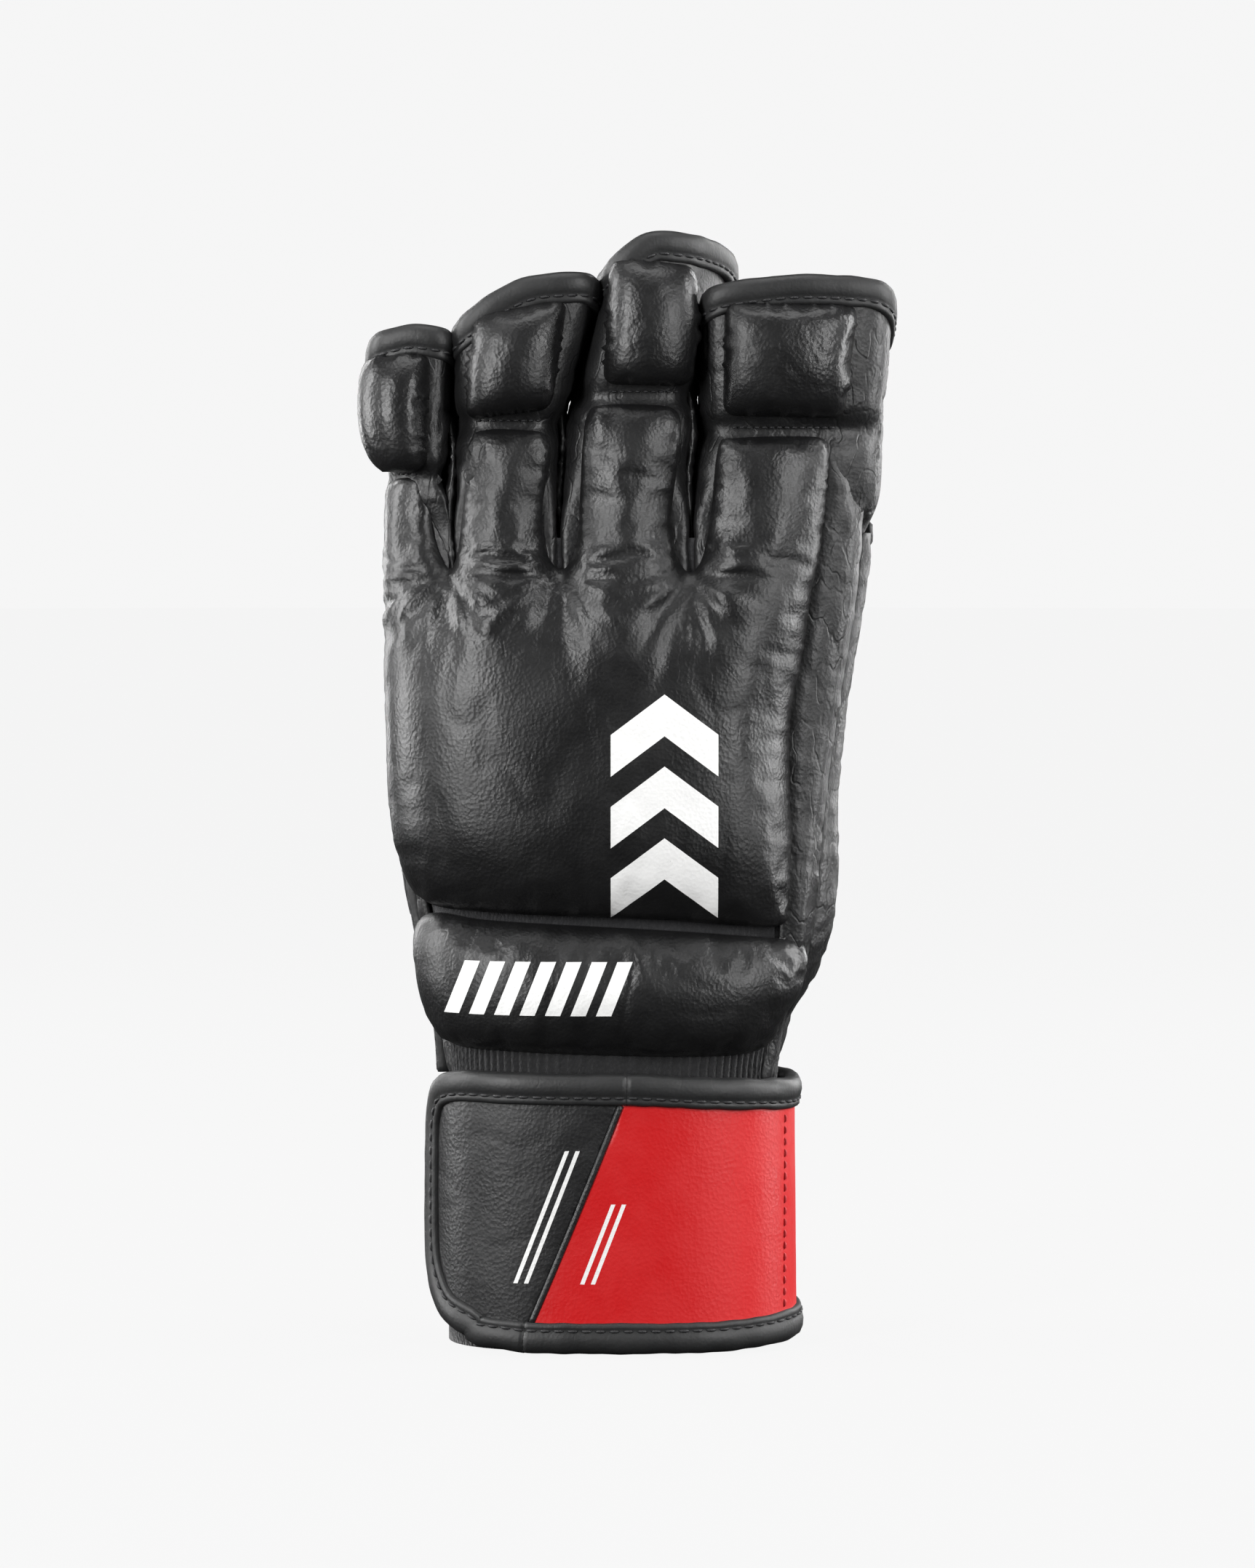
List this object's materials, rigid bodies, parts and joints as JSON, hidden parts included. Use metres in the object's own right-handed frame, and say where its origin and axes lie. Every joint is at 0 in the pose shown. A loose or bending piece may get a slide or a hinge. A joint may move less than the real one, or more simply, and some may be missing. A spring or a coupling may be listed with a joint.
{
  "type": "mma glove",
  "caption": "Left-hand open-finger grappling glove with padded back, finger stalls, thumb stall, palm bar, mesh window and hook-and-loop wrist strap.",
  "frame": {"origin": "on the ground plane of the cuff mouth, below the centre of the overall box", "axes": "+Z from the cuff to the fingertips, -Y out of the back of the hand, +Y out of the palm, +X to the thumb side"},
  "size_m": [0.1194, 0.0888, 0.2526],
  "materials": {
    "black_leather": "satin, fine grain",
    "binding": "matt, stitched",
    "red_leather": "satin, grained",
    "grey_leather": "satin, coarse grain",
    "textile": "ribbed knit",
    "mesh": "open air mesh",
    "hook_and_loop": "fuzzy loop and moulded hook",
    "foam": "closed-cell foam"
  },
  "bodies": {
    "cuff": {"cuff_sleeve": "textile", "strap_wrap": "red_leather", "loop_patch": "hook_and_loop", "strap_wrap_binding_top": "binding", "strap_wrap_binding_bottom": "binding"},
    "hand": {"back_pad_cover": "black_leather", "back_pad_foam": "foam", "back_lining": "textile", "wrist_roll_cover": "black_leather", "wrist_roll_foam": "foam", "thumb_side_gusset": "black_leather", "little_side_gusset": "black_leather", "slit_wall_little_ring": "black_leather", "slit_wall_ring_middle": "black_leather", "slit_wall_middle_index": "black_leather", "palm_panel": "black_leather", "mesh_window": "mesh", "mesh_rim": "black_leather", "thumb_ring": "black_leather", "grip_band": "black_leather", "grip_bar_cover": "red_leather", "grip_bar_core": "foam", "wrist_slit_binding_palm": "binding", "wrist_slit_binding_back": "binding", "wrist_slit_gore": "textile"},
    "index": {"index_stall": "black_leather", "index_binding": "binding", "index_pad_cover": "black_leather", "index_pad_foam": "foam"},
    "middle": {"middle_stall": "black_leather", "middle_binding": "binding", "middle_pad_cover": "black_leather", "middle_pad_foam": "foam"},
    "ring": {"ring_stall": "black_leather", "ring_binding": "binding", "ring_pad_cover": "black_leather", "ring_pad_foam": "foam"},
    "little": {"little_stall": "black_leather", "little_binding": "binding", "little_pad_cover": "black_leather", "little_pad_foam": "foam"},
    "thumb": {"thumb_stall": "black_leather", "thumb_binding": "binding", "thumb_pad_cover": "grey_leather", "thumb_pad_foam": "foam"},
    "strap_flap": {"strap_flap_panel": "red_leather", "strap_flap_binding_top": "binding", "strap_flap_binding_bottom": "binding"},
    "strap_tip": {"strap_tip_panel": "black_leather", "strap_tip_binding": "binding", "hook_patch": "hook_and_loop"}
  },
  "joints": [
    {"name": "wrist_bend", "type": "hinge", "parent": "cuff", "child": "hand", "pos_m": [-0.00325, -0.00941, 0.065], "axis": [-1, 0, 0], "range_deg": [-8, 12]},
    {"name": "little_bend", "type": "hinge", "parent": "hand", "child": "little", "pos_m": [-0.0497, -0.00341, 0.194], "axis": [-1, 0, 0], "range_deg": [-5, 70]},
    {"name": "ring_bend", "type": "hinge", "parent": "hand", "child": "ring", "pos_m": [-0.02425, -0.00341, 0.207], "axis": [-1, 0, 0], "range_deg": [-5, 70]},
    {"name": "middle_bend", "type": "hinge", "parent": "hand", "child": "middle", "pos_m": [0.00445, -0.00341, 0.213], "axis": [-1, 0, 0], "range_deg": [-5, 70]},
    {"name": "index_bend", "type": "hinge", "parent": "hand", "child": "index", "pos_m": [0.03915, -0.00341, 0.204], "axis": [-1, 0, 0], "range_deg": [-5, 70]},
    {"name": "thumb_open", "type": "hinge", "parent": "hand", "child": "thumb", "pos_m": [0.03975, 0.01609, 0.114], "axis": [0, 0, -1], "range_deg": [0, 20]},
    {"name": "strap_open", "type": "hinge", "parent": "cuff", "child": "strap_flap", "pos_m": [0.03955, -0.01381, 0.031], "axis": [0, 0, 1], "range_deg": [0, 150]},
    {"name": "strap_peel", "type": "hinge", "parent": "strap_flap", "child": "strap_tip", "pos_m": [-0.01125, -0.04061, 0.03075], "axis": [0.3569, 0, 0.9341], "range_deg": [0, 60]}
  ]
}
